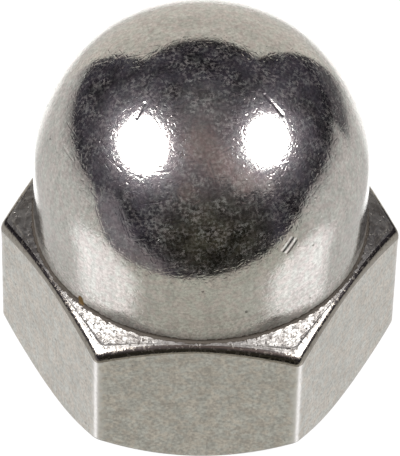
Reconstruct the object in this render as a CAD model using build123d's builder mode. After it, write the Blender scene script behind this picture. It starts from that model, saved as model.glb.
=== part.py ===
from build123d import *
import os
from math import cos, radians, sin, sqrt, tan

# A domed cap nut in stainless steel: a hexagon with its corners turned down,
# a straight neck, a ball-shaped dome and a blind threaded hole.
# Millimetres and degrees. The origin is the centre of the bearing face, +Z up to
# the dome, and two corners of the hexagon lie on the X axis.

# Hexagon
across_flats = 9.93
hex_height = 4.85       # from the bearing face to the foot of the neck
corner_radius = 0.2     # rounding of the six upright corners
shoulder_angle = 30.0   # slope of the cone that turns down the upper corners
foot_angle = 38.5       # slope of the cone that turns down the lower corners
bearing_step = 0.05     # how far the flats stand outside the bearing face

# Edge radii of the hexagon, each at most a share of the strip of cone that is left at
# the middle of a flat
shoulder_edge = 0.2
shoulder_edge_share = 0.52
foot_edge = 0.15
foot_edge_share = 0.6

# Dome
dome_step = 0.215       # how far the flats stand outside the neck and dome
neck_height = 2.1       # straight part below the ball
root_edge = 0.15        # radius where the neck meets the shoulder
root_edge_share = 0.4

# Blind threaded hole
thread_diameter = 6.0
thread_pitch = 1.0
mouth_clearance = 0.3   # mouth countersink outside the thread, on the radius
mouth_angle = 30.0      # slope of the countersink
relief_clearance = 0.15  # relief groove outside the thread, on the radius
relief_width = 2.0
drill_angle = 118.0     # included angle of the drill point
crown_wall = 2.3        # metal between the drill point and the top of the dome

# Radii that follow from the sizes above
flat_radius = across_flats / 2
corner_reach = flat_radius / cos(radians(30))
dome_radius = flat_radius - dome_step
bearing_radius = flat_radius - bearing_step
bore_radius = thread_diameter / 2 - 5 / 8 * thread_pitch * sqrt(3) / 2
mouth_radius = thread_diameter / 2 + mouth_clearance
relief_radius = thread_diameter / 2 + relief_clearance

# Heights
dome_centre = hex_height + neck_height
total_height = dome_centre + dome_radius
shoulder_drop = (corner_reach - dome_radius) * tan(radians(shoulder_angle))
foot_rise = (corner_reach - bearing_radius) * tan(radians(foot_angle))
mouth_depth = (mouth_radius - bore_radius) * tan(radians(mouth_angle))
drill_point = bore_radius / tan(radians(drill_angle / 2))
hole_depth = total_height - crown_wall - drill_point
relief_start = hole_depth - relief_width

# Edge radii as they fit on the strips of cone
shoulder_strip = dome_step / cos(radians(shoulder_angle))
shoulder_turn = tan(radians(90 - shoulder_angle) / 2)
foot_strip = bearing_step / cos(radians(foot_angle))
foot_turn = tan(radians(90 - foot_angle) / 2)
shoulder_radius = min(shoulder_edge, shoulder_edge_share * shoulder_strip / shoulder_turn)
root_radius = min(root_edge, root_edge_share * shoulder_strip / shoulder_turn)
foot_radius = min(foot_edge, foot_edge_share * foot_strip / foot_turn)

# Root of the neck: an arc between the upright neck and the sloping shoulder
root_tangent = root_radius * shoulder_turn
root_end = (
    dome_radius + root_tangent * cos(radians(shoulder_angle)),
    hex_height - root_tangent * sin(radians(shoulder_angle)),
)
hair = 0.001            # keeps the ends of the cones out when their edges are picked

with BuildPart() as cap_nut:
    # Hexagon bar with rounded upright corners
    with BuildSketch(Plane.XY):
        RegularPolygon(radius=corner_reach, side_count=6)
        fillet(vertices(), radius=corner_radius)
    extrude(amount=total_height)

    # Turned outline, from the bearing face over the corners, shoulder, neck and dome
    with BuildSketch(Plane.XZ):
        with BuildLine():
            Line((0, 0), (bearing_radius, 0))
            Line((bearing_radius, 0), (corner_reach, foot_rise))
            Line((corner_reach, foot_rise), (corner_reach, hex_height - shoulder_drop))
            Line((corner_reach, hex_height - shoulder_drop), root_end)
            neck_foot = TangentArc(
                root_end,
                (dome_radius, hex_height + root_tangent),
                tangent=(root_end[0] - corner_reach, root_end[1] - hex_height + shoulder_drop),
            )
            Line(neck_foot @ 1, (dome_radius, dome_centre))
            RadiusArc((dome_radius, dome_centre), (0, total_height), -dome_radius)
            Line((0, total_height), (0, 0))
        make_face()
    revolve(axis=Axis.Z, mode=Mode.INTERSECT)

    # Rounded edges where the cones meet the six flats
    shoulder_edges = edges().filter_by_position(Axis.Z, hex_height - shoulder_drop, root_end[1] - hair)
    foot_edges = edges().filter_by_position(Axis.Z, hair, foot_rise)
    fillet(shoulder_edges, radius=shoulder_radius)
    fillet(foot_edges, radius=foot_radius)

    # Blind hole: countersunk mouth, bore, relief groove and drill point
    with BuildSketch(Plane.XZ):
        with BuildLine():
            Polyline(
                (0, 0),
                (mouth_radius, 0),
                (bore_radius, mouth_depth),
                (bore_radius, relief_start),
                (relief_radius, relief_start),
                (relief_radius, hole_depth),
                (bore_radius, hole_depth),
                (0, hole_depth + drill_point),
                close=True,
            )
        make_face()
    revolve(axis=Axis.Z, mode=Mode.SUBTRACT)

cap_nut.part.label = "cap_nut"

os.makedirs("parts", exist_ok=True)
export_step(cap_nut.part, "parts/cap_nut.step")

print(f"height {total_height:.3f} bore r {bore_radius:.4f} threaded {mouth_depth:.3f} to {relief_start:.3f}")
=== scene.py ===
from math import cos, pi, radians, sin, tan

import bmesh
import bpy
import numpy as np
from mathutils import Matrix, Vector


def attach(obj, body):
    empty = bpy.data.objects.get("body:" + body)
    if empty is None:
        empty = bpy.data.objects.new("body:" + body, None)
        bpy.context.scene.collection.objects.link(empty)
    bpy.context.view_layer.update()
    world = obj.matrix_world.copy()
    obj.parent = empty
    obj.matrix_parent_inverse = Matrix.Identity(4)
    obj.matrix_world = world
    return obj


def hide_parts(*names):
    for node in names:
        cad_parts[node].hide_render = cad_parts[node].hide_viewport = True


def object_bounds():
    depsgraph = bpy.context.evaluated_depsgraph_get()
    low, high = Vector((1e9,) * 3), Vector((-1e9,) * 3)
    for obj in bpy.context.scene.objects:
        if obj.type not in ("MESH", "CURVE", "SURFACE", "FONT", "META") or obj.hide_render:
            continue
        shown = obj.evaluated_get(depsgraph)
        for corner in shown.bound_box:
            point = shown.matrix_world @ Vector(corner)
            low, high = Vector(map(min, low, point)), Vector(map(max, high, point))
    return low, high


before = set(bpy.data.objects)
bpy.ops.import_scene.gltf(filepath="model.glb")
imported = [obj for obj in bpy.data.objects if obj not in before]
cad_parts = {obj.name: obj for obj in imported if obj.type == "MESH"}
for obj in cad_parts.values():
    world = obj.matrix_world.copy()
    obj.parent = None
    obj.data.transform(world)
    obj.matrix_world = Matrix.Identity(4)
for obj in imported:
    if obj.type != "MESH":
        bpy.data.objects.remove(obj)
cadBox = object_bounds()
print("frame loaded")

mm = 0.001  # sizes below are in millimetres where they don't say otherwise


# Nodes

# A node with its settings; its inputs are values, or sockets to link from.
def addNode(tree, kind, inputs=None, **settings):
    node = tree.nodes.new(kind)
    for name, value in settings.items():
        setattr(node, name, value)
    for name, value in (inputs or {}).items():
        setInput(tree, node.inputs[name], value)
    return node


def setInput(tree, socket, value):
    if isinstance(value, bpy.types.NodeSocket):
        tree.links.new(value, socket)
    elif socket.type == "RGBA" and len(value) == 3:
        socket.default_value = (*value, 1.0)
    else:
        socket.default_value = value


# One Math node, and its answer.
def calc(tree, operation, *values, clamp=False):
    node = addNode(tree, "ShaderNodeMath", dict(enumerate(values)), operation=operation, use_clamp=clamp)
    return node.outputs[0]


# One Vector Math node, and its answer, which is a number for a length or a dot product.
def vectorCalc(tree, operation, *values):
    node = addNode(tree, "ShaderNodeVectorMath", dict(enumerate(values)), operation=operation)
    return node.outputs["Value" if operation in ("DOT_PRODUCT", "LENGTH") else "Vector"]


# Map Range with soft ends: toLow at low, toHigh at high.
def spread(tree, value, low, high, toLow=0.0, toHigh=1.0):
    inputs = {"Value": value, "From Min": low, "From Max": high, "To Min": toLow, "To Max": toHigh}
    return addNode(tree, "ShaderNodeMapRange", inputs, interpolation_type="SMOOTHSTEP").outputs["Result"]


# a where share is 0 and b where it is 1.
def mixColour(tree, share, a, b, blend="MIX"):
    inputs = {0: share, 6: a, 7: b}
    return addNode(tree, "ShaderNodeMix", inputs, data_type="RGBA", blend_type=blend).outputs[2]


def grey(level):
    return (level, level, level)


# Direction of what is seen at an azimuth, from behind the nut to its right, and an elevation.
def toward(azimuth, elevation):
    a, e = radians(azimuth), radians(elevation)
    return sin(a) * cos(e), cos(a) * cos(e), sin(e)


# Studio

# The camera as the photograph had it. Azimuth 0 looks along +Y.
photoView = dict(
    azimuth=-0.56,
    elevation=48.15,
    roll=1.55,        # the nut leans a little clockwise in the picture
    distance=132.9,
    lens=367.0,
    sensor=36.0,
    nearest=10.0,
    aim=(0.0, 0.0, 4.26),
)


def makeCamera():
    v = photoView
    a, e, roll = (radians(v[name]) for name in ("azimuth", "elevation", "roll"))
    back = Vector((sin(a) * cos(e), -cos(a) * cos(e), sin(e)))
    level = Vector((cos(a), sin(a), 0.0))
    upright = back.cross(level)
    right = cos(roll) * level + sin(roll) * upright
    up = cos(roll) * upright - sin(roll) * level
    data = bpy.data.cameras.new("photoCamera")
    data.lens = v["lens"]
    data.sensor_width = v["sensor"]
    data.clip_start = v["nearest"] * mm
    camera = bpy.data.objects.new("photoCamera", data)
    bpy.context.scene.collection.objects.link(camera)
    stand = (Vector(v["aim"]) + back * v["distance"]) * mm
    camera.matrix_world = Matrix.Translation(stand) @ Matrix((right, up, back)).transposed().to_4x4()
    bpy.context.scene.camera = camera
    print("camera placed")


# The studio that the steel mirrors. Azimuth 0 is behind the nut and 90 on its right. A place is
# an azimuth and an elevation. A spot is a place, the angle within which it is full and the angle
# at which it ends. A pair named ...Edge says where a mask is 0 and where it is 1, as the sine of
# an angle or, for a lamp, as a share of its size.
studio = dict(
    coolRoom=(0.023, 0.021, 0.029),
    warmRoom=(0.033, 0.031, 0.023),          # low behind the camera
    warmSpot=((172.0, 0.0), 10.0, 45.0),
    mottleScale=5.0,
    mottleDetail=3.0,
    mottleRange=(0.35, 0.65),                # of the noise
    mottleTones=(0.35, 2.2),                 # what the room is multiplied by
    # Faint lights in the dark room, and their colours
    roomGlows=(
        (((180.0, 56.0), 4.0, 40.0), (0.115, 0.098, 0.105)),
        (((-176.0, 60.0), 2.0, 16.0), (0.21, 0.165, 0.16)),
        (((160.0, 46.0), 2.0, 15.0), (0.23, 0.175, 0.17)),
        (((145.0, 31.0), 2.0, 12.0), (0.24, 0.19, 0.18)),
        (((132.0, 22.0), 1.0, 8.0), (0.28, 0.25, 0.25)),
        (((-169.0, 28.0), 1.0, 8.0), (0.15, 0.12, 0.11)),
        (((-120.0, -7.0), 1.0, 15.0), (0.22, 0.205, 0.235)),
        (((-128.0, -18.0), 1.0, 15.0), (0.24, 0.225, 0.255)),
        (((-137.0, -26.0), 1.0, 15.0), (0.24, 0.225, 0.25)),
        (((-147.0, -31.0), 1.0, 13.0), (0.22, 0.20, 0.215)),
    ),
    overheadSpot=((0.0, 90.0), 4.0, 22.0),
    overheadGlow=0.06,
    # Lamps: place, half width and half height in degrees
    lamps=(((-118.0, 42.0), 18.8, 15.6), ((111.0, 42.3), 16.3, 13.6)),
    lampLight=14.0,
    lampEdge=(1.04, 0.96),
    haloLight=(0.68, 0.64, 0.74),            # at the edge of each lamp
    haloFade=6.3,                            # degrees in which the halo drops to a third
    haloEdge=(-0.1, 0.1),
    pale=1.0,                                # what the camera sees round the nut
)

# The pale panel behind the nut
panel = dict(
    low=(0.76, 0.73, 0.68),
    high=(0.65, 0.625, 0.58),
    toneEdge=(-0.1, 0.3),
    azimuth=-1.7,
    halfAngle=36.7,
    sideSoftness=0.012,
    top=38.0,
    topSoftness=0.02,
)

# The pale table that the steel mirrors
table = dict(
    poles=((14.5, -53.3), (-16.4, -28.1)),   # it is seen within 90 degrees of either
    outlineEdge=(-0.015, 0.03),
    horizonEdge=(0.0, -0.03),
    front=(0.525, 0.515, 0.465),
    left=(0.675, 0.67, 0.66),
    right=(0.66, 0.655, 0.645),
    sideEdge=(-0.2, 0.2),                    # from left to right
    frontEdge=(-0.75, -0.1),                 # from front to sides
    far=(0.33, 0.32, 0.32),                  # near the horizon, beside the panel
    farEdge=(-0.25, 0.0),
    belowPanelEdge=(-0.5, 0.0),
    shade=(0.105, 0.10, 0.11),               # right of the panel
    shadeEnd=63.0,
    shadeEndEdge=(-0.03, 0.03),
    shadeStartEdge=(0.0, 0.1),
    shadeFoot=-16.0,
    shadeFootSoftness=0.1,
    # The brightest part lies right behind the nut: place, half width and height, soft range
    behind=1.5,
    behindPlaces=(((0.0, -43.0), 20.0, 28.0, (1.22, 0.8)), ((0.0, -35.0), 31.0, 13.0, (1.3, 0.7))),
    # The lamps again, mirrored in the gloss of the table
    gleamLight=(0.575, 0.575, 0.61),
    gleamSpots=(((-111.0, -44.0), 10.0, 21.0), ((106.5, -45.0), 10.0, 21.0)),
)


# 1 within a spot's inner angle and 0 outside its outer one.
def disc(tree, direction, spot):
    spotPlace, inner, outer = spot
    near = vectorCalc(tree, "DOT_PRODUCT", direction, toward(*spotPlace))
    return spread(tree, near, cos(radians(outer)), cos(radians(inner)))


# 0 at the middle of an oval lamp and 1 at its edge; its back side counts as far off.
def fromLamp(tree, direction, lampPlace, halfWidth, halfHeight):
    azimuth, elevation = lampPlace
    across = vectorCalc(tree, "DOT_PRODUCT", direction, toward(azimuth + 90.0, 0.0))
    above = vectorCalc(tree, "DOT_PRODUCT", direction, toward(azimuth, elevation + 90.0))
    facing = vectorCalc(tree, "DOT_PRODUCT", direction, toward(azimuth, elevation))
    farOff = 9.0
    return vectorCalc(tree, "LENGTH", addNode(tree, "ShaderNodeCombineXYZ", {
        0: calc(tree, "DIVIDE", across, sin(radians(halfWidth))),
        1: calc(tree, "DIVIDE", above, sin(radians(halfHeight))),
        2: calc(tree, "MULTIPLY", calc(tree, "MINIMUM", facing, 0.0), farOff),
    }).outputs[0])


# Room: two dark tones with a mottle, faint glows and a light overhead.
def roomColour(tree, direction):
    s = studio
    colour = mixColour(tree, disc(tree, direction, s["warmSpot"]), s["coolRoom"], s["warmRoom"])
    mottle = noise(tree, direction, s["mottleScale"], s["mottleDetail"])
    mottle = spread(tree, mottle, *s["mottleRange"], *s["mottleTones"])
    colour = mixColour(tree, 1.0, colour, mottle, "MULTIPLY")
    for spot, light in s["roomGlows"]:
        colour = mixColour(tree, disc(tree, direction, spot), colour, light)
    overhead = disc(tree, direction, s["overheadSpot"])
    return mixColour(tree, overhead, colour, grey(s["overheadGlow"]), "ADD")


# Panel: its colour, where it is, and where it would be if it went on up and down.
def panelParts(tree, direction, z):
    p = panel
    across = vectorCalc(tree, "DOT_PRODUCT", direction, toward(p["azimuth"] + 90.0, 0.0))
    facing = vectorCalc(tree, "DOT_PRODUCT", direction, toward(p["azimuth"], 0.0))
    sideEdge = calc(tree, "MULTIPLY", facing, tan(radians(p["halfAngle"])))
    inside = calc(tree, "SUBTRACT", sideEdge, calc(tree, "ABSOLUTE", across))
    strip = spread(tree, inside, -p["sideSoftness"], p["sideSoftness"])
    top = sin(radians(p["top"]))
    below = spread(tree, z, top + p["topSoftness"], top - p["topSoftness"])
    colour = mixColour(tree, spread(tree, z, *p["toneEdge"]), p["low"], p["high"])
    return colour, calc(tree, "MULTIPLY", strip, below), strip


# Table: its tone runs from front to back and from left to right. It is darker towards the
# horizon except below the panel, and in a shade on the right. Gives its colour and its mask.
def tableParts(tree, direction, panelStrip):
    t = table
    x, y, z = addNode(tree, "ShaderNodeSeparateXYZ", {0: direction}).outputs
    poles = [vectorCalc(tree, "DOT_PRODUCT", direction, toward(*pole)) for pole in t["poles"]]
    outline = spread(tree, calc(tree, "MAXIMUM", *poles), *t["outlineEdge"])
    mask = calc(tree, "MULTIPLY", spread(tree, z, *t["horizonEdge"]), outline)
    side = mixColour(tree, spread(tree, x, *t["sideEdge"]), t["left"], t["right"])
    colour = mixColour(tree, spread(tree, y, *t["frontEdge"]), t["front"], side)

    besidePanel = calc(tree, "SUBTRACT", 1.0, panelStrip)
    far = calc(tree, "MULTIPLY", spread(tree, z, *t["farEdge"]), besidePanel)
    colour = mixColour(tree, far, colour, t["far"])
    belowPanel = calc(tree, "MULTIPLY", spread(tree, z, *t["belowPanelEdge"]), panelStrip)
    colour = mixColour(tree, belowPanel, colour, panel["low"])

    toEnd = vectorCalc(tree, "DOT_PRODUCT", direction, toward(t["shadeEnd"] - 90.0, 0.0))
    fromStart = spread(tree, x, *t["shadeStartEdge"])
    shaded = calc(tree, "MULTIPLY", spread(tree, toEnd, *t["shadeEndEdge"]), fromStart)
    foot, softness = sin(radians(t["shadeFoot"])), t["shadeFootSoftness"]
    shaded = calc(tree, "MULTIPLY", shaded, spread(tree, z, foot - softness, foot + softness))
    colour = mixColour(tree, calc(tree, "MULTIPLY", shaded, besidePanel), colour, t["shade"])

    ovals = [spread(tree, fromLamp(tree, direction, *oval), *edge) for *oval, edge in t["behindPlaces"]]
    colour = mixColour(tree, calc(tree, "MAXIMUM", *ovals), colour, grey(t["behind"]))
    for spot in t["gleamSpots"]:
        colour = mixColour(tree, disc(tree, direction, spot), colour, t["gleamLight"], "ADD")
    return colour, mask


# What the steel mirrors: a dark room, a pale panel behind, a pale table and two round lamps
# whose halo drops as exp(-angle / fade). The camera itself sees an even pale background.
def makeWorld():
    s = studio
    world = bpy.data.worlds.new("studio")
    bpy.context.scene.world = world
    world.use_nodes = True
    tree = world.node_tree
    tree.nodes.clear()
    direction = addNode(tree, "ShaderNodeTexCoord").outputs["Generated"]
    z = addNode(tree, "ShaderNodeSeparateXYZ", {0: direction}).outputs["Z"]

    colour = roomColour(tree, direction)
    panelColour, panelMask, panelStrip = panelParts(tree, direction, z)
    colour = mixColour(tree, panelMask, colour, panelColour)
    tableColour, tableMask = tableParts(tree, direction, panelStrip)
    colour = mixColour(tree, tableMask, colour, tableColour)
    for lampPlace, halfWidth, halfHeight in s["lamps"]:
        away = fromLamp(tree, direction, lampPlace, halfWidth, halfHeight)
        beyond = calc(tree, "MULTIPLY", calc(tree, "SUBTRACT", away, 1.0), halfHeight / s["haloFade"])
        fade = calc(tree, "EXPONENT", calc(tree, "MULTIPLY", beyond, -1.0))
        halo = calc(tree, "MULTIPLY", fade, spread(tree, z, *s["haloEdge"]))
        halo = mixColour(tree, halo, grey(0.0), s["haloLight"])
        colour = mixColour(tree, 1.0, colour, halo, "ADD")
        colour = mixColour(tree, spread(tree, away, *s["lampEdge"]), colour, grey(s["lampLight"]))

    mirrored = addNode(tree, "ShaderNodeBackground", {"Color": colour})
    plain = addNode(tree, "ShaderNodeBackground", {"Color": grey(s["pale"])})
    seen = addNode(tree, "ShaderNodeLightPath").outputs["Is Camera Ray"]
    mix = addNode(tree, "ShaderNodeMixShader", {0: seen, 1: mirrored.outputs[0], 2: plain.outputs[0]})
    addNode(tree, "ShaderNodeOutputWorld", {"Surface": mix.outputs[0]})
    print("studio made")


floorLook = dict(
    reach=0.6,            # metres from the nut to each edge
    drop=0.00001,         # metres below the bearing face
    glow=0.94,
    shade=0.12,           # how much of the table's tone takes the nut's shadow
)


# A plain pale table top. The camera sees it with a faint shadow; the steel mirrors the
# studio's own table instead, so other rays pass it.
def makeFloor():
    reach = floorLook["reach"]
    mesh = bpy.data.meshes.new("tableTop")
    corners = [(-reach, -reach, 0.0), (reach, -reach, 0.0), (reach, reach, 0.0), (-reach, reach, 0.0)]
    mesh.from_pydata(corners, [], [(0, 1, 2, 3)])
    floor = bpy.data.objects.new("tableTop", mesh)
    bpy.context.scene.collection.objects.link(floor)
    floor.location.z = -floorLook["drop"]
    floor.visible_glossy = floor.visible_diffuse = floor.visible_shadow = False
    material = bpy.data.materials.new("paleTable")
    material.use_nodes = True
    tree = material.node_tree
    tree.nodes.clear()
    glow = addNode(tree, "ShaderNodeEmission", {"Color": grey(1.0), "Strength": floorLook["glow"]})
    shade = addNode(tree, "ShaderNodeBsdfDiffuse", {"Color": grey(floorLook["shade"])})
    both = addNode(tree, "ShaderNodeAddShader", {0: glow.outputs[0], 1: shade.outputs[0]})
    clear = addNode(tree, "ShaderNodeBsdfTransparent")
    under = addNode(tree, "ShaderNodeNewGeometry").outputs["Backfacing"]
    mix = addNode(tree, "ShaderNodeMixShader", {0: under, 1: both.outputs[0], 2: clear.outputs[0]})
    addNode(tree, "ShaderNodeOutputMaterial", {"Surface": mix.outputs[0]})
    mesh.materials.append(material)
    print("table made")


# Shape of the nut

# Sizes that the nut's box doesn't give, in millimetres and degrees
nutSize = dict(
    inset=0.0005,           # keeps the flats inside the solid's box
    hexHeight=4.85,
    neckHeight=2.1,
    domeRadius=4.75,
    bearingRadius=4.915,
    cornerRadius=0.26,
    shoulderAngle=30.0,
    footAngle=38.5,
    footLean=10.0,          # the foot is flatter at the corners on X
    footSteep=0.25,         # share of it by which the other corners are steeper
    shoulderRadius=0.2,     # at the middle of a flat
    shoulderGrowth=0.063,   # added to it per millimetre from there to the corner
    rootRadius=0.06,
    footRadius=0.08,
    lipHeight=0.018,        # a burr along the edge of the shoulder
    lipPlace=0.86,          # its middle and width as shares of the slope
    lipWidth=0.07,
    lipFade=(0.05, 0.45),   # width of slope at which it starts, and is full
    cornerFlare=0.012,      # the corners swell a little under the shoulder
    flareHeight=0.4,
    flareAngle=5.0,         # half of its width round the axis
    mouthRadius=3.3,
    boreRadius=2.459,
    threadRadius=3.0,
    pitch=1.0,
    flankAngle=30.0,
    mouthDepth=0.486,
    reliefRadius=3.15,
    reliefStart=5.923,
    holeDepth=7.923,
    drillPoint=1.477,
    sharpAngle=32.0,        # edges that turn more than this are shaded sharp
)

# Where the surface has its points. Shares run along the part of the outline that they name.
grid = dict(
    columns=420,
    crowding=0.8,           # how much they crowd at the corners
    domeRows=49,
    belowBall=(0.6, 1.2),   # millimetres, as is the next
    aboveRoot=0.12,
    rootRows=9,
    shoulder=(
        0.05, 0.12, 0.2, 0.3, 0.4, 0.5, 0.6, 0.66, 0.71, 0.75, 0.785, 0.82, 0.855, 0.89, 0.925, 0.96,
    ),
    edgeRows=10,
    flat=(0.01, 0.03, 0.06, 0.09, 0.13, 0.2, 0.35, 0.5, 0.65, 0.8, 0.93, 0.985),
    footRows=7,
    footCone=(0.25, 0.5, 0.75, 0.92, 1.0),
    bearing=(0.02, 0.2, 0.4, 0.6, 0.8, 0.97, 1.0),
    # Shares of a pitch: the crest, the flank, the groove and the other flank
    thread=(0.0, 0.0625, 0.125, 0.23, 0.33, 0.4375, 0.5625, 0.67, 0.77, 0.875),
    reliefStep=0.1,         # millimetres from the ends of the relief groove
    point=(0.0, 0.25, 0.5, 0.75, 0.9, 1.0),
    mergeWithin=1e-7,       # metres, as is the next
    thinnest=1e-8,
)


# 0 below 0, 1 above 1 and 3x^2 - 2x^3 between.
def smoothStep(x):
    x = np.clip(x, 0.0, 1.0)
    return x * x * (3.0 - 2.0 * x)


# Angles round the axis, u - crowding / 6 sin 6u, which crowd at the six corners.
def cornerColumns(count):
    u = np.arange(count) / count * 2.0 * pi
    return u - grid["crowding"] / 6.0 * np.sin(6.0 * u)


# Angle to the nearest corner, between -30 and 30 degrees; corners lie at 0, 60, 120...
def fromCorner(theta):
    return (theta + pi / 6.0) % (pi / 3.0) - pi / 6.0


# Distance from the axis to a hexagon's side: flat / cos of the angle from the side's middle,
# or near a corner the far side of a circle whose centre lies on the corner's ray.
def hexRadius(theta, flat, rounding):
    phi = np.abs(fromCorner(theta))
    side = flat / np.cos(pi / 6.0 - phi)
    centre = (flat - rounding) / cos(pi / 6.0)
    underRoot = np.maximum(rounding ** 2 - (centre * np.sin(phi)) ** 2, 0.0)
    arc = centre * np.cos(phi) + np.sqrt(underRoot)
    tangent = pi / 6.0 - np.arctan2((flat - rounding) * tan(pi / 6.0), flat)
    return np.where(phi < tangent, arc, side)


def column(values):
    return np.asarray(values, float)[:, None]


# Radius and height of some rows as (rows, count) arrays, also where they are the same all round.
def rows(r, z, count):
    r, z = np.broadcast_arrays(np.atleast_2d(r), np.atleast_2d(z))
    return np.broadcast_to(r, (len(r), count)), np.broadcast_to(z, (len(z), count))


# Equal steps from a to b, one row each.
def between(a, b, steps):
    return a + (b - a) * np.linspace(0.0, 1.0, steps)[:, None]


# The outside of the nut, from the top of the dome to the mouth of the hole: blocks of rows,
# each a radius and a height as functions of the angle and of the way along the outline.
def outerRows(theta):
    n = nutSize
    count = len(theta)
    flat = cadBox[1].y / mm - n["inset"]
    hexR = hexRadius(theta, flat, n["cornerRadius"])[None, :]
    atCorner = np.exp(-(fromCorner(theta) / radians(n["flareAngle"])) ** 2)[None, :]
    ballCentre = n["hexHeight"] + n["neckHeight"]
    slope = radians(n["shoulderAngle"])
    lean = n["footLean"] * np.maximum(np.cos(2.0 * theta), -n["footSteep"])
    foot = np.radians(n["footAngle"] - lean)[None, :]
    blocks = []

    def block(zone, r, z):
        blocks.append((zone, *rows(r, z, count)))

    # Dome: a quarter circle carried round the axis
    polar = between(0.0, pi / 2.0, grid["domeRows"])
    block("dome", n["domeRadius"] * np.sin(polar), ballCentre + n["domeRadius"] * np.cos(polar))

    # Neck and its root: straight down, then an arc out to the slope of the shoulder
    rootTangent = n["rootRadius"] * tan((pi / 2.0 - slope) / 2.0)
    rootTop = n["hexHeight"] + rootTangent
    neckZ = [*(ballCentre - np.array(grid["belowBall"])), rootTop + grid["aboveRoot"], rootTop]
    block("dome", n["domeRadius"], column(neckZ))
    turn = between(0.0, pi / 2.0 - slope, grid["rootRows"])[1:]
    rootR = n["domeRadius"] + n["rootRadius"] * (1.0 - np.cos(turn))
    rootZ = rootTop - n["rootRadius"] * np.sin(turn)
    block("dome", rootR, rootZ)

    # Shoulder: a cone down to the rounded edge of each flat, with a low burr, a bell curve along
    # the slope that fades out where the cone is narrow
    fromMiddle = flat * np.tan(pi / 6.0 - np.abs(fromCorner(theta)))[None, :]
    edgeRadius = n["shoulderRadius"] + n["shoulderGrowth"] * fromMiddle
    edgeZ = n["hexHeight"] - (hexR - n["domeRadius"]) * tan(slope)
    edgeTangent = edgeRadius * tan((pi / 2.0 - slope) / 2.0)
    coneR = hexR - edgeTangent * cos(slope) - rootR[-1]
    coneZ = edgeZ + edgeTangent * sin(slope) - rootZ[-1]
    share = column(grid["shoulder"])
    lipStart, lipFull = n["lipFade"]
    wide = smoothStep((coneR - lipStart) / (lipFull - lipStart))
    lip = n["lipHeight"] * wide * np.exp(-((share - n["lipPlace"]) / n["lipWidth"]) ** 2)
    block("shoulder", rootR[-1] + coneR * share, rootZ[-1] + coneZ * share + lip)
    turn = between(slope, pi / 2.0, grid["edgeRows"])
    flatTop = edgeZ - edgeTangent
    block("edge", hexR - edgeRadius * (1.0 - np.sin(turn)), flatTop + edgeRadius * np.cos(turn))

    # Flats: straight down, a little slack below the swollen top of each corner
    footZ = (hexR - n["bearingRadius"]) * np.tan(foot)
    footTangent = n["footRadius"] * np.tan((pi / 2.0 - foot) / 2.0)
    flatEnd = footZ + footTangent
    flatZ = flatTop + (flatEnd - flatTop) * column(grid["flat"])
    slack = n["cornerFlare"] * atCorner * smoothStep((flatTop - flatZ) / n["flareHeight"])
    block("flat", hexR - slack, flatZ)

    # Foot: a rounded edge, the cone that turns down the lower corners, the bearing face
    footR = hexR - n["cornerFlare"] * atCorner
    turn = between(0.0, pi / 2.0 - foot, grid["footRows"])
    roundR = footR - n["footRadius"] * (1.0 - np.cos(turn))
    block("foot", roundR, flatEnd - n["footRadius"] * np.sin(turn))
    coneR = footR - footTangent * np.cos(foot)
    coneZ = footZ - footTangent * np.sin(foot)
    share = column(grid["footCone"])
    block("foot", coneR + (n["bearingRadius"] - coneR) * share, coneZ * (1.0 - share))
    share = column(grid["bearing"])
    block("foot", n["bearingRadius"] + (n["mouthRadius"] - n["bearingRadius"]) * share, 0.0)
    return blocks


# The inside thread. A row follows the helix, z = v + pitch * angle / 360. Its radius is the
# thread form at that phase, a groove with a flat of pitch / 8 and straight flanks, or the
# countersink where that is wider. Heights are held between the mouth and the relief, where rows
# fall together and are merged. Gives the rows, and how many of them make up one turn.
def threadRows(theta):
    n = nutSize
    form = np.array(grid["thread"])
    turns = int(np.ceil(n["reliefStart"] / n["pitch"])) + 2
    v = ((np.arange(turns) - 1.0)[:, None] + form[None, :]).reshape(-1, 1) * n["pitch"]
    climb = n["pitch"] * theta[None, :] / (2.0 * pi)
    z = np.clip(v + climb, 0.0, n["reliefStart"])
    phase = ((z - climb) / n["pitch"]) % 1.0
    fromGroove = np.abs(phase - 0.5) * n["pitch"]
    onFlank = np.maximum(fromGroove - n["pitch"] / 16.0, 0.0)
    r = n["threadRadius"] - onFlank / tan(radians(n["flankAngle"]))
    sink = n["mouthRadius"] - z / n["mouthDepth"] * (n["mouthRadius"] - n["boreRadius"])
    return np.maximum(np.maximum(r, n["boreRadius"]), sink), z, len(form)


# The relief groove, the end of the hole and the drill point, which closes on the axis.
def holeRows(theta):
    n = nutSize
    start, end, step = n["reliefStart"], n["holeDepth"], grid["reliefStep"]
    point = np.array(grid["point"])
    z = [start, start + step, end - step, end, *(end + n["drillPoint"] * point)]
    r = [n["reliefRadius"]] * 4 + [*(n["boreRadius"] * (1.0 - point))]
    return rows(column(r), column(z), len(theta))


# Faces of a grid closed round the axis, whose points start at number first. The seam joins the
# end of row i to the start of row i + seamShift, as a helix needs.
def quads(rowCount, columnCount, first, seamShift=0):
    i = np.arange(rowCount - 1)[:, None]
    a = i * columnCount + np.arange(columnCount - 1)[None, :]
    faces = np.stack([a, a + columnCount, a + columnCount + 1, a + 1], -1).reshape(-1, 4)
    i = np.arange(rowCount - 1 - seamShift)
    last = i * columnCount + columnCount - 1
    start = (i + seamShift) * columnCount
    seam = np.stack([last, last + columnCount, start + columnCount, start], -1)
    return np.concatenate([faces, seam]) + first


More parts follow.
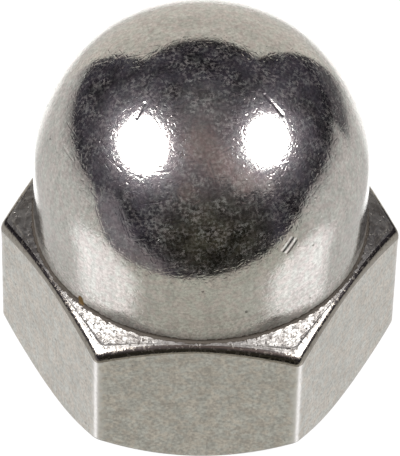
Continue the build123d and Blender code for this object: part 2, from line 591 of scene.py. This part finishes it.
# One closed surface: x = r cos, y = r sin of the angle, with r and z from the rows above. The
# thread's last row is there twice, as the end of the helix and as the start of the hole.
def makeNut(finishes):
    theta = cornerColumns(grid["columns"])
    count = len(theta)
    blocks = outerRows(theta)
    outerR = np.concatenate([r for _, r, _ in blocks])
    outerZ = np.concatenate([z for _, _, z in blocks])
    zoneNames = list(finishes)
    rowZone = np.concatenate([[zoneNames.index(zone)] * len(r) for zone, r, _ in blocks])
    threadR, threadZ, shift = threadRows(theta)
    holeR, holeZ = holeRows(theta)

    r = np.concatenate([outerR, threadR, threadR[-1:], holeR])
    z = np.concatenate([outerZ, threadZ, threadZ[-1:], holeZ])
    points = np.stack([r * np.cos(theta), r * np.sin(theta), z], -1).reshape(-1, 3) * mm
    outer = quads(len(outerR), count, 0)
    thread = quads(len(threadR), count, len(outerR) * count, shift)
    hole = quads(len(holeR) + 1, count, (len(outerR) + len(threadR)) * count)
    faceZone = np.concatenate([
        rowZone[outer.min(axis=1) // count],
        np.full(len(thread) + len(hole), zoneNames.index("hole")),
    ])

    mesh = bpy.data.meshes.new("nutBody")
    mesh.from_pydata(points.tolist(), [], np.concatenate([outer, thread, hole]).tolist())
    for finish in finishes.values():
        mesh.materials.append(finish)
    mesh.polygons.foreach_set("material_index", faceZone.astype(np.int32))
    work = bmesh.new()
    work.from_mesh(mesh)
    bmesh.ops.remove_doubles(work, verts=work.verts, dist=grid["mergeWithin"])
    bmesh.ops.dissolve_degenerate(work, edges=work.edges, dist=grid["thinnest"])
    work.to_mesh(mesh)
    work.free()
    mesh.polygons.foreach_set("use_smooth", np.ones(len(mesh.polygons), bool))
    mesh.set_sharp_from_angle(angle=radians(nutSize["sharpAngle"]))
    nut = bpy.data.objects.new("nutBody", mesh)
    bpy.context.scene.collection.objects.link(nut)
    print("nut made,", sum(len(p.vertices) - 2 for p in mesh.polygons), "triangles")
    return nut


# Effects that several finishes share

# An empty node group with its sockets; gives its tree, its inputs and its output node.
def newGroup(name, inputs, outputs):
    tree = bpy.data.node_groups.new(name, "ShaderNodeTree")
    for socket, value in inputs.items():
        kind = "NodeSocketVector" if isinstance(value, tuple) else "NodeSocketFloat"
        tree.interface.new_socket(socket, in_out="INPUT", socket_type=kind).default_value = value
    for socket in outputs:
        tree.interface.new_socket(socket, in_out="OUTPUT", socket_type="NodeSocketFloat")
    return tree, tree.nodes.new("NodeGroupInput").outputs, tree.nodes.new("NodeGroupOutput")


def useGroup(tree, name, **inputs):
    node = tree.nodes.new("ShaderNodeGroup")
    node.node_tree = bpy.data.node_groups[name]
    for socket, value in inputs.items():
        setInput(tree, node.inputs[socket], value)
    return node.outputs


# Place on the nut in millimetres.
def place(tree):
    metres = addNode(tree, "ShaderNodeTexCoord").outputs["Object"]
    return vectorCalc(tree, "MULTIPLY", metres, grey(1.0 / mm))


# Noise at a place, by its scale, detail and roughness, and W for a place in four dimensions.
def noise(tree, where, scale, detail=2.0, roughness=0.5, **inputs):
    inputs = {"Vector": where, "Scale": scale, "Detail": detail, "Roughness": roughness, **inputs}
    dimensions = "4D" if "W" in inputs else "3D"
    return addNode(tree, "ShaderNodeTexNoise", inputs, noise_dimensions=dimensions).outputs["Fac"]


# Soft patches: noise by its settings, and the range of it that is spread out.
def patches(tree, where, settings, *softRange):
    return spread(tree, noise(tree, where, *settings), *softRange)


effects = dict(
    grainNoise=(2.0, 0.55),             # detail and roughness
    speckFineness=1.37,                 # to the grain's size
    speckDetail=1.0,
    speckLevels=(0.8, 0.2),             # of noise, at no cover and at full cover
    speckSoftness=0.06,
    turningNoise=(1.0, 2.0, 0.6),       # scale, detail and roughness
    hairlineTurns=((0.3, 1.2, 0.2), (1.1, 0.4, 1.9), (2.0, 1.7, 0.9), (0.8, 2.6, 2.7), (2.7, 0.6, 1.4)),
    hairlineStretch=(1.0, 1.0, 12.0),
    hairlineDetail=1.0,
    hairlineContrast=8.0,
    wobbleScale=9.0,                    # how the pits are bent, per millimetre and in millimetres
    wobble=0.09,
    pitSizes=(0.4, 1.0),                # of the given radius
    pitEdge=(1.1, 0.6),                 # of its own radius
    creaseBorder=((7.0, 3.0), 0.35, 0.65, 0.7, 1.3),     # noise, its range, shares of the reach
    creaseCore=0.55,                    # share of the border
    wearBorder=((6.0, 3.0), 0.35, 0.65, 0.5, 1.3),
    cornerReach=5.6,                    # millimetres from the axis
)


# Fine grain of tumbled steel: noise of one size for the height, and of another, cut off
# at a level, for the dull specks.
def makeGrain():
    tree, given, out = newGroup("grain", {"PerMillimetre": 10.0, "Cover": 0.5}, ["Height", "Specks"])
    where = place(tree)
    height = noise(tree, where, given["PerMillimetre"], *effects["grainNoise"])
    finer = calc(tree, "MULTIPLY", given["PerMillimetre"], effects["speckFineness"])
    other = noise(tree, where, finer, effects["speckDetail"])
    level = spread(tree, given["Cover"], 0.0, 1.0, *effects["speckLevels"])
    softness = effects["speckSoftness"]
    specks = spread(tree, calc(tree, "SUBTRACT", other, level), -softness, softness)
    tree.links.new(height, out.inputs["Height"])
    tree.links.new(specks, out.inputs["Specks"])


# Distance from the axis of a place split into x and y, and those two as one vector.
def fromAxis(tree, x, y):
    flatPlace = addNode(tree, "ShaderNodeCombineXYZ", {0: x, 1: y}).outputs[0]
    return vectorCalc(tree, "LENGTH", flatPlace), flatPlace


# Turning lines: noise that is long round the axis and short across it. Its place is the
# direction from the axis, so that a line closes on itself, with radius and height.
def makeTurning():
    tree, given, out = newGroup("turning", {"PerMillimetre": 20.0, "Breaks": 12.0}, ["Height"])
    x, y, z = addNode(tree, "ShaderNodeSeparateXYZ", {0: place(tree)}).outputs
    radius, flatPlace = fromAxis(tree, x, y)
    around = vectorCalc(tree, "NORMALIZE", flatPlace)
    aroundX, aroundY, _ = addNode(tree, "ShaderNodeSeparateXYZ", {0: around}).outputs
    where = addNode(tree, "ShaderNodeCombineXYZ", {
        0: calc(tree, "MULTIPLY", aroundX, given["Breaks"]),
        1: calc(tree, "MULTIPLY", aroundY, given["Breaks"]),
        2: calc(tree, "MULTIPLY", radius, given["PerMillimetre"]),
    }).outputs[0]
    height = calc(tree, "MULTIPLY", z, given["PerMillimetre"])
    lines = noise(tree, where, *effects["turningNoise"], W=height)
    tree.links.new(lines, out.inputs["Height"])


# Hairline scratches lying all ways: noise drawn out along each of several directions, and
# only its highest ridges kept.
def makeHairlines():
    tree, given, out = newGroup("hairlines", {"PerMillimetre": 16.0, "Level": 0.68}, ["Height"])
    where = place(tree)
    total = None
    for turn in effects["hairlineTurns"]:
        inputs = {"Vector": where, "Rotation": turn, "Scale": effects["hairlineStretch"]}
        drawn = addNode(tree, "ShaderNodeMapping", inputs, vector_type="TEXTURE").outputs[0]
        ridge = noise(tree, drawn, given["PerMillimetre"], effects["hairlineDetail"])
        ridge = calc(tree, "SUBTRACT", ridge, given["Level"])
        ridge = calc(tree, "MULTIPLY", ridge, effects["hairlineContrast"], clamp=True)
        total = ridge if total is None else calc(tree, "MAXIMUM", total, ridge)
    tree.links.new(total, out.inputs["Height"])


# Pits: round spots at scattered points, of which only a share is kept, each of its own size.
def makePits():
    tree, given, out = newGroup("pits", {"PerMillimetre": 2.0, "Share": 0.3, "Radius": 0.05}, ["Mask"])
    where = place(tree)
    wobble = addNode(tree, "ShaderNodeTexNoise", {"Vector": where, "Scale": effects["wobbleScale"]})
    bend = vectorCalc(tree, "MULTIPLY", wobble.outputs["Color"], grey(effects["wobble"]))
    bent = vectorCalc(tree, "ADD", where, bend)
    cells = addNode(tree, "ShaderNodeTexVoronoi", {"Vector": bent, "Scale": given["PerMillimetre"]})
    distance = calc(tree, "DIVIDE", cells.outputs["Distance"], given["PerMillimetre"])
    chance, size, _ = addNode(tree, "ShaderNodeSeparateXYZ", {0: cells.outputs["Color"]}).outputs
    radius = calc(tree, "MULTIPLY", given["Radius"], spread(tree, size, 0.0, 1.0, *effects["pitSizes"]))
    spot = spread(tree, calc(tree, "DIVIDE", distance, radius), *effects["pitEdge"])
    kept = calc(tree, "LESS_THAN", chance, given["Share"])
    tree.links.new(calc(tree, "MULTIPLY", spot, kept), out.inputs["Mask"])


# One scratch: 1 on the straight line between two points and 0 at the given width from it.
def makeScratch():
    inputs = {"Start": (0.0, 0.0, 0.0), "End": (1.0, 0.0, 0.0), "Width": 0.05}
    tree, given, out = newGroup("scratch", inputs, ["Mask"])
    along = vectorCalc(tree, "SUBTRACT", given["End"], given["Start"])
    offset = vectorCalc(tree, "SUBTRACT", place(tree), given["Start"])
    length = vectorCalc(tree, "DOT_PRODUCT", along, along)
    share = calc(tree, "DIVIDE", vectorCalc(tree, "DOT_PRODUCT", offset, along), length, clamp=True)
    foot = addNode(tree, "ShaderNodeVectorMath", {0: along, "Scale": share}, operation="SCALE").outputs[0]
    away = vectorCalc(tree, "LENGTH", vectorCalc(tree, "SUBTRACT", offset, foot))
    tree.links.new(spread(tree, away, given["Width"], 0.0), out.inputs["Mask"])


# Grime and painted shade in a crease that runs round the axis: 1 near the circle and 0 at about the given
# reach from it, with a ragged border.
def makeCrease():
    tree, given, out = newGroup("crease", {"Radius": 1.0, "Height": 0.0, "Reach": 0.1}, ["Mask"])
    where = place(tree)
    x, y, z = addNode(tree, "ShaderNodeSeparateXYZ", {0: where}).outputs
    radius, _ = fromAxis(tree, x, y)
    side = addNode(tree, "ShaderNodeCombineXYZ", {
        0: calc(tree, "SUBTRACT", radius, given["Radius"]),
        1: calc(tree, "SUBTRACT", z, given["Height"]),
    }).outputs[0]
    ragged = calc(tree, "MULTIPLY", given["Reach"], patches(tree, where, *effects["creaseBorder"]))
    core = calc(tree, "MULTIPLY", ragged, effects["creaseCore"])
    tree.links.new(spread(tree, vectorCalc(tree, "LENGTH", side), ragged, core), out.inputs["Mask"])


# Wear on the six upright corners: 1 on the corner and 0 where the surface is about the given
# reach away along the flat, with a ragged border.
def makeCornerWear():
    tree, given, out = newGroup("cornerWear", {"Reach": 0.15}, ["Mask"])
    where = place(tree)
    x, y, _ = addNode(tree, "ShaderNodeSeparateXYZ", {0: where}).outputs
    angle = calc(tree, "ARCTAN2", y, x)
    sector = calc(tree, "PINGPONG", calc(tree, "ADD", angle, 2.0 * pi), pi / 6.0)
    away = calc(tree, "MULTIPLY", sector, effects["cornerReach"])
    ragged = calc(tree, "MULTIPLY", given["Reach"], patches(tree, where, *effects["wearBorder"]))
    tree.links.new(spread(tree, away, ragged, 0.0), out.inputs["Mask"])


# Finishes

# A pattern in them is the settings of a noise, which are its scale per millimetre, detail and
# roughness, then the range of it that is spread out and, where given, the values at its ends.

# The sum of some values, each times its share.
def weighted(tree, *parts):
    total = None
    for value, share in parts:
        scaled = calc(tree, "MULTIPLY", value, share)
        total = scaled if total is None else calc(tree, "ADD", total, scaled)
    return total


# A value plus a share of a pattern.
def plus(tree, value, pattern, share):
    return calc(tree, "ADD", value, calc(tree, "MULTIPLY", pattern, share))


# Bare steel: metal of a colour and roughness, with a surface height in millimetres, dull
# where it is soiled and where the crease's shade is painted.
def bareSteel(name, build):
    material = bpy.data.materials.new(name)
    material.use_nodes = True
    tree = material.node_tree
    tree.nodes.clear()
    colour, roughness, height, soil = build(tree)
    bump = addNode(tree, "ShaderNodeBump", {"Height": height, "Strength": 1.0, "Distance": mm})
    steel = addNode(tree, "ShaderNodeBsdfPrincipled", {
        "Base Color": colour,
        "Metallic": calc(tree, "SUBTRACT", 1.0, soil, clamp=True) if soil else 1.0,
        "Roughness": roughness,
        "Normal": bump.outputs[0],
    })
    addNode(tree, "ShaderNodeOutputMaterial", {"Surface": steel.outputs[0]})
    return material


# Grime and painted shade in the crease between the neck and the shoulder, where their two finishes meet
creaseGrimeAndShadeFinish = dict(
    # its dark colour is grime, and painted shade that also covers the bright reflection of the root fillet;
    # the pits take it as dirt
    grimeAndShade=(0.052, 0.041, 0.030),
    outside=0.02,         # from the neck to the middle of the grime
    reach=0.075,
    colourRange=(0.0, 0.5),
    shadeAndSoilRange=(0.6, 0.95),
    roughness=0.7,
)


# How much grime and painted shade there is, how far it hides the steel's colour and how far it is no metal.
def shadeAndGrimeInCrease(tree):
    c = creaseGrimeAndShadeFinish
    radius, height = nutSize["domeRadius"] + c["outside"], nutSize["hexHeight"]
    crease = useGroup(tree, "crease", Radius=radius, Height=height, Reach=c["reach"])["Mask"]
    return crease, spread(tree, crease, *c["colourRange"]), spread(tree, crease, *c["shadeAndSoilRange"])


domeFinish = dict(
    steel=(0.74, 0.715, 0.675),
    cloud=(0.52, 0.50, 0.475),
    toneParts=(((1.3, 3.0), 0.2), ((9.5, 2.0), 0.5)),    # noise, and its share of the tone
    streakPart=((1.0, 2.0), 0.3),
    streakScale=(5.0, 5.0, 0.7),
    toneRange=(0.3, 0.7),
    warmFilm=(1.0, 0.96, 0.955),
    coolFilm=(0.97, 1.0, 0.98),
    film=((4.5, 3.0), 0.4, 0.6),
    filmSoil=((2.4, 3.0), 0.36, 0.64, 0.021, 0.119),
    grit=((12.0, 3.0, 0.7), 0.3, 0.7, 0.84, 1.14),
    specks=((11.0, 2.0, 0.6), 0.42, 0.64),
    # Painted shade: dark specks on the neck, more of them towards the crease
    neckShadeColour=(0.27, 0.25, 0.215),
    neckShade=0.55,            # how much of it lies at the crease
    neckShadeReach=2.0,        # and how far up the neck it reaches
    fine=((13.0, 2.0), 0.35, 0.7),
    polish=0.07,
    dullness=0.07,
    rootReach=0.9,        # how far up the neck the steel is rougher
    rootRoughness=0.42,
    grain=dict(PerMillimetre=7.0, Cover=0.5),
    grainHeight=0.0016,
    turning=dict(PerMillimetre=16.0, Breaks=10.0),
    turningHeight=0.0015,
    hairlines=dict(PerMillimetre=9.0, Level=0.63),
    hairlineDepth=0.0017,
    pits=dict(PerMillimetre=1.6, Share=0.35, Radius=0.06),
    pitDepth=0.004,
    pitGrime=0.6,
    # Start and end of each scratch, as azimuth from +X and angle from the top of the ball
    scratches=(
        ((-133, 34), (-135, 29)), ((-38, 26.5), (-38, 35)), ((-61, 78), (-57, 74.5)),
        ((-59.5, 79.5), (-55.5, 76)), ((60, 40), (68, 52)), ((150, 60), (158, 66)),
    ),
    scratchWidth=0.085,
    scratchDepth=0.008,
    rust=(0.10, 0.055, 0.008),
    rustPlace=((-134.3, 5.0), (-133.6, 4.78)),           # its ends, as azimuth and height
    rustWidth=0.16,
    rustGrain=0.5,
    rustRange=(0.45, 0.75),
)


# A point on the ball, by azimuth from +X and angle from its top.
def onBall(azimuth, polar):
    a, p = radians(azimuth), radians(polar)
    r, centre = nutSize["domeRadius"], nutSize["hexHeight"] + nutSize["neckHeight"]
    return r * sin(p) * cos(a), r * sin(p) * sin(a), centre + r * cos(p)


# A point on the neck, by azimuth from +X and height.
def onNeck(azimuth, height):
    a = radians(azimuth)
    return nutSize["domeRadius"] * cos(a), nutSize["domeRadius"] * sin(a), height


# Scratches, and a rust spot whose border the grain makes ragged.
def domeMarks(tree, grain):
    f = domeFinish
    marks = None
    for start, end in f["scratches"]:
        ends = dict(Start=onBall(*start), End=onBall(*end))
        mark = useGroup(tree, "scratch", Width=f["scratchWidth"], **ends)["Mask"]
        marks = mark if marks is None else calc(tree, "MAXIMUM", marks, mark)
    start, end = (onNeck(*spot) for spot in f["rustPlace"])
    rust = useGroup(tree, "scratch", Start=start, End=end, Width=f["rustWidth"])["Mask"]
    return marks, spread(tree, plus(tree, rust, grain, f["rustGrain"]), *f["rustRange"])


def domeSteel(tree):
    f = domeFinish
    where = place(tree)
    grain = useGroup(tree, "grain", **f["grain"])["Height"]
    turning = useGroup(tree, "turning", **f["turning"])["Height"]
    hairlines = useGroup(tree, "hairlines", **f["hairlines"])["Height"]
    pits = useGroup(tree, "pits", **f["pits"])["Mask"]
    specks = patches(tree, where, *f["specks"])
    marks, rust = domeMarks(tree, grain)
    crease, creaseGrimeAndShadeColour, creaseGrimeAndShadeSoil = shadeAndGrimeInCrease(tree)
    foot = nutSize["hexHeight"]
    z = addNode(tree, "ShaderNodeSeparateXYZ", {0: where}).outputs["Z"]

    tones = [(noise(tree, where, *settings), share) for settings, share in f["toneParts"]]
    settings, share = f["streakPart"]
    drawn = vectorCalc(tree, "MULTIPLY", where, f["streakScale"])
    tone = weighted(tree, *tones, (noise(tree, drawn, *settings), share))
    colour = mixColour(tree, spread(tree, tone, *f["toneRange"]), f["cloud"], f["steel"])
    film = mixColour(tree, patches(tree, where, *f["film"]), f["warmFilm"], f["coolFilm"])
    colour = mixColour(tree, 1.0, colour, film, "MULTIPLY")
    colour = mixColour(tree, 1.0, colour, patches(tree, where, *f["grit"]), "MULTIPLY")
    # painted shade: the neck darkens in specks towards the crease
    neckShade = spread(tree, z, foot + f["neckShadeReach"], foot, 0.0, f["neckShade"])
    colour = mixColour(tree, calc(tree, "MULTIPLY", specks, neckShade), colour, f["neckShadeColour"])
    colour = mixColour(tree, calc(tree, "MULTIPLY", pits, f["pitGrime"]), colour, creaseGrimeAndShadeFinish["grimeAndShade"])
    # painted shade and grime: the crease's dark colour
    colour = mixColour(tree, creaseGrimeAndShadeColour, colour, creaseGrimeAndShadeFinish["grimeAndShade"])
    colour = mixColour(tree, rust, colour, f["rust"])

    dirt = calc(tree, "MULTIPLY", calc(tree, "MAXIMUM", rust, crease), creaseGrimeAndShadeFinish["roughness"])
    nearCrease = spread(tree, z, foot + f["rootReach"], foot, 0.0, f["rootRoughness"])
    roughness = plus(tree, f["polish"], patches(tree, where, *f["fine"]), f["dullness"])
    roughness = calc(tree, "MAXIMUM", calc(tree, "MAXIMUM", roughness, dirt), nearCrease)
    height = weighted(
        tree, (grain, f["grainHeight"]), (turning, f["turningHeight"]),
        (hairlines, -f["hairlineDepth"]), (pits, -f["pitDepth"]), (marks, -f["scratchDepth"]),
    )
    soil = calc(tree, "MULTIPLY", specks, patches(tree, where, *f["filmSoil"]))
    return colour, roughness, height, calc(tree, "MAXIMUM", calc(tree, "MAXIMUM", soil, creaseGrimeAndShadeSoil), rust)


shoulderFinish = dict(
    steel=(0.375, 0.36, 0.34),
    dark=(0.11, 0.10, 0.09),
    speckDark=0.55,
    stain=(0.13, 0.115, 0.105),
    stains=((3.5, 3.0), 0.42, 0.64, 0.0, 0.65),
    wearReach=0.14,
    wear=0.15,            # share of the dome's steel that shows at the worn corners
    roughness=0.36,
    speckRoughness=0.2,
    grain=dict(PerMillimetre=9.0, Cover=0.42),
    grainHeight=0.008,
    turning=dict(PerMillimetre=14.0, Breaks=16.0),
    turningHeight=0.008,
    pits=dict(PerMillimetre=8.0, Share=0.5, Radius=0.05),
    pitDepth=0.008,
)


def shoulderSteel(tree):
    f = shoulderFinish
    grain = useGroup(tree, "grain", **f["grain"])
    turning = useGroup(tree, "turning", **f["turning"])["Height"]
    pits = useGroup(tree, "pits", **f["pits"])["Mask"]
    wear = useGroup(tree, "cornerWear", Reach=f["wearReach"])["Mask"]
    crease, creaseGrimeAndShadeColour, creaseGrimeAndShadeSoil = shadeAndGrimeInCrease(tree)
    colour = mixColour(tree, calc(tree, "MULTIPLY", grain["Specks"], f["speckDark"]), f["steel"], f["dark"])
    colour = mixColour(tree, pits, colour, f["dark"])
    colour = mixColour(tree, patches(tree, place(tree), *f["stains"]), colour, f["stain"])
    colour = mixColour(tree, calc(tree, "MULTIPLY", wear, f["wear"]), colour, domeFinish["steel"])
    # painted shade and grime: the crease's dark colour
    colour = mixColour(tree, creaseGrimeAndShadeColour, colour, creaseGrimeAndShadeFinish["grimeAndShade"])
    dirt = calc(tree, "MULTIPLY", crease, creaseGrimeAndShadeFinish["roughness"])
    roughness = plus(tree, f["roughness"], grain["Specks"], f["speckRoughness"])
    height = weighted(
        tree, (grain["Height"], f["grainHeight"]), (turning, f["turningHeight"]), (pits, -f["pitDepth"]),
    )
    return colour, calc(tree, "MAXIMUM", roughness, dirt), height, creaseGrimeAndShadeSoil


edgeFinish = dict(
    steel=(0.38, 0.35, 0.305),
    dull=(0.24, 0.21, 0.175),
    speckDull=0.6,
    polish=0.12,
    speckRoughness=0.2,
    grain=dict(PerMillimetre=8.0, Cover=0.4),
    grainHeight=0.006,
)


def edgeSteel(tree):
    f = edgeFinish
    grain = useGroup(tree, "grain", **f["grain"])
    colour = mixColour(tree, calc(tree, "MULTIPLY", grain["Specks"], f["speckDull"]), f["steel"], f["dull"])
    roughness = plus(tree, f["polish"], grain["Specks"], f["speckRoughness"])
    return colour, roughness, weighted(tree, (grain["Height"], f["grainHeight"])), None


flatFinish = dict(
    steel=(0.91, 0.89, 0.84),
    cloud=(0.745, 0.725, 0.68),
    clouds=((1.6, 5.0, 0.65), 0.3, 0.7),
    warmFilm=(1.0, 0.96, 0.925),
    coolFilm=(0.965, 0.985, 0.985),
    film=((3.6, 3.0), 0.4, 0.6),
    dark=(0.30, 0.28, 0.25),
    fine=((12.0, 3.0, 0.6), 0.26, 0.74),
    fineDark=0.52,
    wearAndHighlight=(0.90, 0.88, 0.85),           # at the worn corners, also a painted highlight that widens their bright stripe
    wearReach=0.26,
    roughness=0.27,
    dullness=0.2,
    grain=dict(PerMillimetre=10.0, Cover=0.5),
    grainHeight=0.0065,
    hairlines=dict(PerMillimetre=10.0, Level=0.64),
    hairlineDepth=0.0006,
    pits=dict(PerMillimetre=3.2, Share=0.35, Radius=0.055),
    pitDark=0.6,
    pitDepth=0.008,
)


def flatSteel(tree):
    f = flatFinish
    where = place(tree)
    grain = useGroup(tree, "grain", **f["grain"])["Height"]
    hairlines = useGroup(tree, "hairlines", **f["hairlines"])["Height"]
    pits = useGroup(tree, "pits", **f["pits"])["Mask"]
    wear = useGroup(tree, "cornerWear", Reach=f["wearReach"])["Mask"]
    colour = mixColour(tree, patches(tree, where, *f["clouds"]), f["cloud"], f["steel"])
    film = mixColour(tree, patches(tree, where, *f["film"]), f["warmFilm"], f["coolFilm"])
    colour = mixColour(tree, 1.0, colour, film, "MULTIPLY")
    fine = patches(tree, where, *f["fine"])
    colour = mixColour(tree, calc(tree, "MULTIPLY", fine, f["fineDark"]), colour, f["dark"])
    colour = mixColour(tree, calc(tree, "MULTIPLY", pits, f["pitDark"]), colour, f["dark"])
    # wear and painted highlight: the flats are brightened next to the corners
    colour = mixColour(tree, wear, colour, f["wearAndHighlight"])
    height = weighted(
        tree, (grain, f["grainHeight"]), (hairlines, -f["hairlineDepth"]), (pits, -f["pitDepth"]),
    )
    return colour, plus(tree, f["roughness"], fine, f["dullness"]), height, None


footFinish = dict(
    steel=(0.58, 0.56, 0.53),
    dark=(0.26, 0.24, 0.22),
    speckDark=0.3,
    roughness=0.3,
    turningRoughness=0.2,
    grain=dict(PerMillimetre=8.0, Cover=0.4),
    grainHeight=0.006,
    turning=dict(PerMillimetre=11.0, Breaks=3.0),
    turningHeight=0.008,
)


def footSteel(tree):
    f = footFinish
    grain = useGroup(tree, "grain", **f["grain"])
    turning = useGroup(tree, "turning", **f["turning"])["Height"]
    colour = mixColour(tree, calc(tree, "MULTIPLY", grain["Specks"], f["speckDark"]), f["steel"], f["dark"])
    roughness = plus(tree, f["roughness"], turning, f["turningRoughness"])
    height = weighted(tree, (grain["Height"], f["grainHeight"]), (turning, f["turningHeight"]))
    return colour, roughness, height, None


holeFinish = dict(
    steel=(0.50, 0.48, 0.45),
    oil=(0.17, 0.15, 0.12),
    speckOil=0.5,
    roughness=0.32,
    speckRoughness=0.2,
    grain=dict(PerMillimetre=5.0, Cover=0.45),
    grainHeight=0.004,
    turning=dict(PerMillimetre=12.0, Breaks=2.5),
    turningHeight=0.01,
)


def holeSteel(tree):
    f = holeFinish
    grain = useGroup(tree, "grain", **f["grain"])
    turning = useGroup(tree, "turning", **f["turning"])["Height"]
    colour = mixColour(tree, calc(tree, "MULTIPLY", grain["Specks"], f["speckOil"]), f["steel"], f["oil"])
    roughness = plus(tree, f["roughness"], grain["Specks"], f["speckRoughness"])
    height = weighted(tree, (turning, f["turningHeight"]), (grain["Height"], f["grainHeight"]))
    return colour, roughness, height, None


# The scene

bpy.context.scene.view_settings.view_transform = "Standard"
makeCamera()
makeWorld()
makeFloor()

for makeEffect in (makeGrain, makeTurning, makeHairlines, makePits, makeScratch, makeCrease, makeCornerWear):
    makeEffect()
steels = dict(
    dome=domeSteel, shoulder=shoulderSteel, edge=edgeSteel, flat=flatSteel, foot=footSteel, hole=holeSteel,
)
finishes = {zone: bareSteel(zone + "Steel", build) for zone, build in steels.items()}
print("finishes made")

nut = makeNut(finishes)
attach(nut, "root")
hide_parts("cap_nut")
